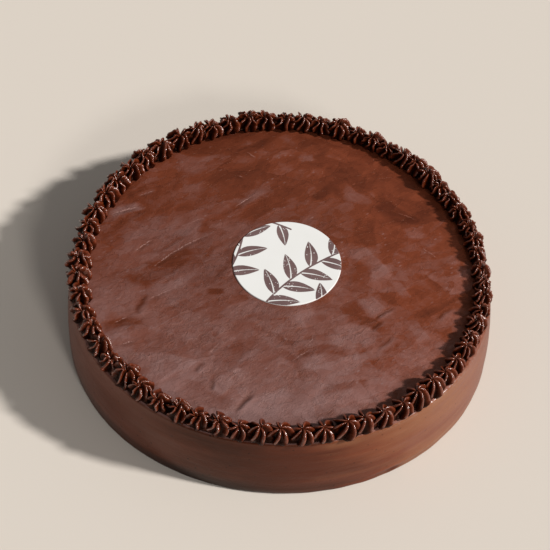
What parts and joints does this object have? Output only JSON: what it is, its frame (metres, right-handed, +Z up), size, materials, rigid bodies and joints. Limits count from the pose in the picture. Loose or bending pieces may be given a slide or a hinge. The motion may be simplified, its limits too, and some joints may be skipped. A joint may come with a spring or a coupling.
{
  "type": "sachertorte cake",
  "caption": "Round uncut chocolate cake coated in ganache, with a border of piped stars and a white chocolate disc on top.",
  "frame": {"origin": "the middle of the flat base of the cake", "axes": "+Z up through the middle of the cake, +X to the right and -Y towards the viewer of the disc's print"},
  "size_m": [0.2557, 0.2585, 0.0579],
  "materials": {
    "ganache": "semi-gloss chocolate ganache, red-brown with paler grey-mauve bloom and faint spatula marks",
    "piped_ganache": "glossy dark chocolate ganache, piped in grooved stars",
    "white_chocolate": "smooth white chocolate with a plum-brown print of cropped leaf sprigs"
  },
  "bodies": {
    "root": {"cake": "ganache", "piped_border": "piped_ganache", "chocolate_disc": "white_chocolate"}
  },
  "joints": []
}
